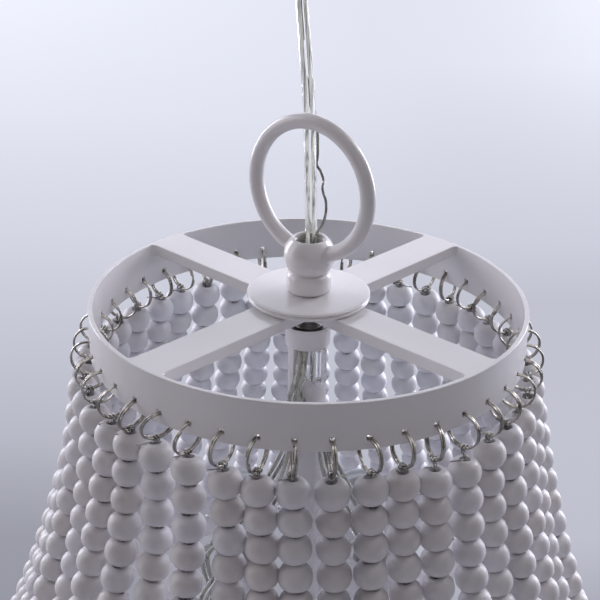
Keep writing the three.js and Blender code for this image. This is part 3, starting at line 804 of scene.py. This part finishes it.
# Stringing wire
# A soft wire runs through each strand's beads. It is wound round the foot of the split ring and
# back round itself, with its end left sticking out, and hooks into the lower hoop.
string_steel = finish_of("stringing wire", drawn, (0.46, 0.45, 0.43), (0.20, 0.195, 0.185), cloud=300,
                         grain=4000, smooth=0.16, rough=0.3, bump=0.00001, metallic=1)[0]
string_radius = 0.0003
hoop_radius = 0.145
foot_hole = hoop_top - 0.0059
hook_outside, hook_inside = 0.0012, 0.004   # how far the hook reaches out and in from the hoop's outside
coil_height, coil_width, coil_length, coil_steps = 0.001, 0.00145, 0.0026, 10
wrap_radius, wrap_starts, wrap_stops_short, wrap_steps = 0.0009, 0.0008, 0.0006, 8
tail_bend = 0.0014
wires = []
for strand in range(strands):
    at = strand_line(strand)
    turn, hole, low, across, knot, _, _ = hanger_of(strand)
    up = (at(0) - at(0.05)).normalized()
    side = across.cross(up).normalized()
    out, level_way = turn @ Vector((1, 0, 0)), turn @ Vector((0, 1, 0))
    foot = at(1)
    outside = out * (hoop_radius + hook_outside) + Vector((0, 0, foot_hole))
    line = [out * (hoop_radius - hook_inside) + Vector((0, 0, foot_hole)), outside,
            foot.lerp(outside, 0.35) + out * 0.0002]
    line += [at(s / 12) for s in range(12, 0, -1)]
    line.append(at(knot * 0.9 / strand_length))
    coils = chance.uniform(1.6, 2.4)
    for i in range(round(coils * coil_steps) + 1):
        a = math.pi + 2 * math.pi * i / coil_steps
        line.append(low + up * math.cos(a) * coil_height * chance.uniform(0.85, 1.25)
                    + side * math.sin(a) * coil_width * chance.uniform(0.9, 1.25)
                    + across * (i / coil_steps / coils - 0.5) * coil_length)
    turns = chance.uniform(0.8, 1.6)
    for i in range(1, round(turns * wrap_steps) + 1):
        a = 2 * math.pi * i / wrap_steps
        line.append(low - up * (wrap_starts + (knot - wrap_stops_short) * i / wrap_steps / turns)
                    + (across * math.cos(a) + side * math.sin(a)) * wrap_radius)
    tail = (level_way * chance.choice((-1, -1, 1)) + out * chance.uniform(-0.4, 0.6)
            + up * chance.uniform(-0.2, 0.4)).normalized()
    spare = chance.choice((0.0008, 0.0015, 0.003, 0.005))
    if out.x < -0.2 and out.y < -0.5:
        tail, spare = Vector((-1, -0.3, chance.uniform(-0.25, 0.15))).normalized(), chance.uniform(0.003, 0.006)
    line.append(line[-1] + tail * tail_bend)
    line.append(line[-1] + tail * spare)
    wires.append(tube(framed(smooth_route(line, spacing=0.0006), side), round_section(string_radius, sides=6)))
add_piece("stringing_wires", joined(wires), string_steel, "bell", sharp=0)


# Lower hoop
# The same rolled strip as the top ring, wider, with the strands hooked into it from outside.
softened(add_piece("lower_hoop_strip", punched_hoop(hoop_radius, hoop_top, foot_hole),
                   enamel, "bell", ["lower_hoop"], sharp=0), width=0.00035)


# Lower spokes
# Two crossed flat bars like the upper ones. They carry the stem's foot and the lamps.
softened(add_piece("lower_spokes", crossed_bars(hoop_radius - bar_sunk, hoop_top + bar_proud),
                   enamel, "bell", ["lower_cross"], sharp=0), width=0.0004)
add_piece("lower_welds", weld_fillets(hoop_radius - strip_thick, hoop_top), enamel, "bell")


# Candle lampholders
# A turned steel cup on each lower spoke carries a white card sleeve round a white socket.
card = finish_of("white card sleeve", sprayed, (0.86, 0.87, 0.90), (0.82, 0.83, 0.87),
                 cloud=30, grain=600, smooth=0.5, rough=0.65, bump=0.00003)[0]
socket_white = finish_of("white moulded socket", sprayed, (0.82, 0.82, 0.84), (0.78, 0.78, 0.80),
                         cloud=60, grain=1200, smooth=0.35, rough=0.5, bump=0.00001)[0]
lamp_circle = 0.04
lamp_foot = hoop_top + 0.0003
lamp_top = ring_top - 0.110625
sleeve_foot = lamp_foot + 0.0104
lamp_cup = [(0.0062, 0), (0.0099, 0), (0.0105, 0.0014), (0.0135, 0.0045), (0.0166, 0.0078), (0.0176, 0.0093),
            (0.018, 0.0097), (0.0179, 0.01), (0.017, 0.0098), (0.0125, 0.0056), (0.0062, 0.0042)]
cup_profile = [(r, lamp_foot + z) for r, z in lamp_cup]
sleeve_profile = [(0.0106, sleeve_foot - 0.004), (0.012, sleeve_foot - 0.004), (0.012, lamp_top - 0.0004),
                  (0.0116, lamp_top), (0.0109, lamp_top), (0.0106, lamp_top - 0.0004)]
socket = [(0, 0.026), (0.007, 0.026), (0.0074, 0.0245), (0.0072, 0.019), (0.0076, 0.018), (0.0072, 0.017),
          (0.0076, 0.0145), (0.0076, 0.0022), (0.0082, 0.0016), (0.0102, 0.0016), (0.0104, 0.002)]
socket_profile = [*[(r, lamp_top - z) for r, z in socket], (0.0104, sleeve_foot), (0, sleeve_foot)]
for lamp in range(4):
    name = f"candle_lamp_{lamp + 1}"
    a = bar_turn + lamp * math.pi / 2
    axis = (lamp_circle * math.cos(a), lamp_circle * math.sin(a))
    add_piece(name + "_cup", turned(cup_profile, sides=64, closed=True, centre=axis),
              enamel, "bell", [name])
    add_piece(name + "_sleeve", turned(sleeve_profile, sides=64, closed=True, centre=axis), card, "bell")
    add_piece(name + "_socket", turned(socket_profile, sides=48, centre=axis), socket_white, "bell")


# Studio
# A pale floor and backdrop that darken towards the front, as the photograph's does. A soft light
# stands above and behind, two strips behind at the sides, weaker ones at the left, above and in
# front, and a faint one inside the bell stands for the light that comes through the beads.
floor_height, wall_height, reach = -0.9, 6, 7
floor = bpy.data.meshes.new("floor")
floor.from_pydata([(-reach, -reach, floor_height), (reach, -reach, floor_height), (reach, reach, floor_height),
                   (-reach, reach, floor_height), (reach, reach, wall_height), (-reach, reach, wall_height)],
                  [], [(0, 1, 2, 3), (3, 2, 4, 5)])
stage = bpy.data.objects.new("floor", floor)
bpy.context.scene.collection.objects.link(stage)
pale = bpy.data.materials.new("pale floor")
pale.use_nodes = True
floor.materials.append(pale)


def worked_out(tree, operation, *values):
    """The result of a sum on sockets and numbers."""
    made = tree.nodes.new("ShaderNodeMath")
    made.operation = operation
    for socket, value in zip(made.inputs, values):
        if isinstance(value, float):
            socket.default_value = value
        else:
            tree.links.new(value, socket)
    return made.outputs["Value"]


def ramp(tree, value, stops):
    """The colour that a value picks from a ramp of (position, colour) stops."""
    made = tree.nodes.new("ShaderNodeValToRGB")
    while len(made.color_ramp.elements) < len(stops):
        made.color_ramp.elements.new(0.5)
    for element, (position, colour) in zip(made.color_ramp.elements, stops):
        element.position = position
        element.color = (*colour, 1)
    tree.links.new(value, made.inputs["Fac"])
    return made.outputs["Color"]


def switched(tree, share, first, second):
    """Two shaders, of which the second shows where the share is 1."""
    made = tree.nodes.new("ShaderNodeMixShader")
    for socket, given in zip(made.inputs, (share, first, second)):
        tree.links.new(given, socket)
    return made.outputs["Shader"]


def cool_greys(stops):
    """Ramp stops in cool greys, from (position, brightness) pairs."""
    return [(position, (bright, bright * 1.022, bright * (1.215 - 0.065 * bright))) for position, bright in stops]


# The backdrop glows in painted light, greys from near to far, one row at the left and one at the
# right, with painted shade in a darker trough up the middle. The camera, gloss and glass see them.
# The lamps light a matt floor.
tree = pale.node_tree
tree.nodes.remove(tree.nodes["Principled BSDF"])
where, split = tree.nodes.new("ShaderNodeTexCoord"), tree.nodes.new("ShaderNodeSeparateXYZ")
tree.links.new(where.outputs["Object"], split.inputs["Vector"])
far = share_of(tree, split.outputs["Y"], 0.5, 5.5)
across = worked_out(tree, "DIVIDE", split.outputs["X"], worked_out(tree, "ADD", split.outputs["Y"], 0.5))
left_painted_light = ramp(tree, far, cool_greys([
    (0.072, 0.31), (0.1, 0.33), (0.125, 0.4), (0.15, 0.475), (0.206, 0.545), (0.32, 0.66), (0.5, 0.78),
    (0.63, 0.83), (0.82, 0.885)]))
right_painted_light = ramp(tree, far, cool_greys([
    (0.068, 0.39), (0.084, 0.46), (0.1, 0.52), (0.15, 0.54), (0.258, 0.53), (0.32, 0.61), (0.42, 0.68),
    (0.63, 0.83), (0.82, 0.885)]))
# Painted shade in a darker trough up the middle.
painted_shade_trough = ramp(tree, share_of(tree, across, -0.25, 0.25), [(position, (bright,) * 3) for position, bright in (
    (0.05, 1), (0.3, 0.94), (0.6, 0.865), (0.72, 0.875), (0.84, 0.925), (0.95, 1))])
backdrop = blended(tree, share_of(tree, across, -0.02, 0.16, eased=True), left_painted_light, right_painted_light)
backdrop = blended(tree, share_of(tree, far, 0.3, 0.82), backdrop, painted_shade_trough, how="MULTIPLY")
glow, matt, ray = [tree.nodes.new("ShaderNode" + kind) for kind in ("Emission", "BsdfDiffuse", "LightPath")]
tree.links.new(backdrop, glow.inputs["Color"])
matt.inputs["Color"].default_value = (0.75, 0.76, 0.80, 1)
seen = worked_out(tree, "MAXIMUM", ray.outputs["Is Camera Ray"], ray.outputs["Is Glossy Ray"])
seen = worked_out(tree, "MAXIMUM", seen, ray.outputs["Is Transmission Ray"])
tree.links.new(switched(tree, seen, matt.outputs["BSDF"], glow.outputs["Emission"]),
               tree.nodes["Material Output"].inputs["Surface"])

# The room's own light is weak. Gloss and glass show a sky that brightens upwards, and past the
# floor the camera sees a plain pale grey.
world = bpy.data.worlds.new("room")
bpy.context.scene.world = world
world.use_nodes = True
tree = world.node_tree
room, mirrored, watched = tree.nodes["Background"], *[tree.nodes.new("ShaderNodeBackground") for _ in range(2)]
room.inputs["Color"].default_value = (0.80, 0.81, 0.90, 1)
room.inputs["Strength"].default_value = 0.06
watched.inputs["Color"].default_value = (0.62, 0.635, 0.72, 1)
where, split, ray = [tree.nodes.new("ShaderNode" + kind) for kind in ("TexCoord", "SeparateXYZ", "LightPath")]
tree.links.new(where.outputs["Generated"], split.inputs["Vector"])
sky = [(position, (bright * 0.94, bright * 0.95, bright))
       for position, bright in ((0.3, 0.07), (0.5, 0.35), (0.75, 1))]
tree.links.new(ramp(tree, split.outputs["Z"], [*sky, (1, (1, 1, 1))]), mirrored.inputs["Color"])
seen = worked_out(tree, "MAXIMUM", ray.outputs["Is Glossy Ray"], ray.outputs["Is Transmission Ray"])
lit = switched(tree, seen, room.outputs["Background"], mirrored.outputs["Background"])
tree.links.new(switched(tree, ray.outputs["Is Camera Ray"], lit, watched.outputs["Background"]),
               tree.nodes["World Output"].inputs["Surface"])


def lamp_panel(name, place, target, width, height, power, colour):
    """A soft square of light that faces its target."""
    light = bpy.data.lights.new(name, "AREA")
    light.shape = "RECTANGLE"
    light.size = width
    light.size_y = height
    light.energy = power
    light.color = colour
    lamp = bpy.data.objects.new(name, light)
    place = Vector(place)
    lamp.matrix_world = Matrix.Translation(place) \
        @ (place - Vector(target)).to_track_quat("Z", "Y").to_matrix().to_4x4()
    bpy.context.scene.collection.objects.link(lamp)
    return lamp


for name, place, width, height, power, colour in (
        ("behind", (0, 2.2, 0.7), 2.4, 0.9, 10.4, (0.90, 0.90, 1)),
        ("behind at the left", (-1.5, 1.2, 0.25), 0.6, 1.4, 25, (0.90, 0.895, 1)),
        ("behind at the right", (1.5, 1.2, 0.25), 0.6, 1.4, 36, (0.90, 0.895, 1)),
        ("left", (-1.6, 0.1, 0.3), 0.6, 1.6, 7.5, (1, 0.95, 0.98)),
        ("above at the right", (1.1, 0.3, 1.2), 0.8, 0.8, 5.5, (1, 0.98, 1)),
        ("front", (0.2, -2.2, 0.6), 1.5, 1.5, 6.9, (1, 0.915, 0.955))):
    lamp_panel(name, place, (0, 0, ring_top), width, height, power, colour)
inner_lamp = lamp_panel("light inside the bell", (0, 0.015, ring_top - 0.06), (0, 0.1, ring_top - 0.072),
                        width=0.07, height=0.05, power=0.0095, colour=(0.74, 0.86, 1))
inner_lamp.visible_camera = inner_lamp.visible_glossy = inner_lamp.visible_transmission = False
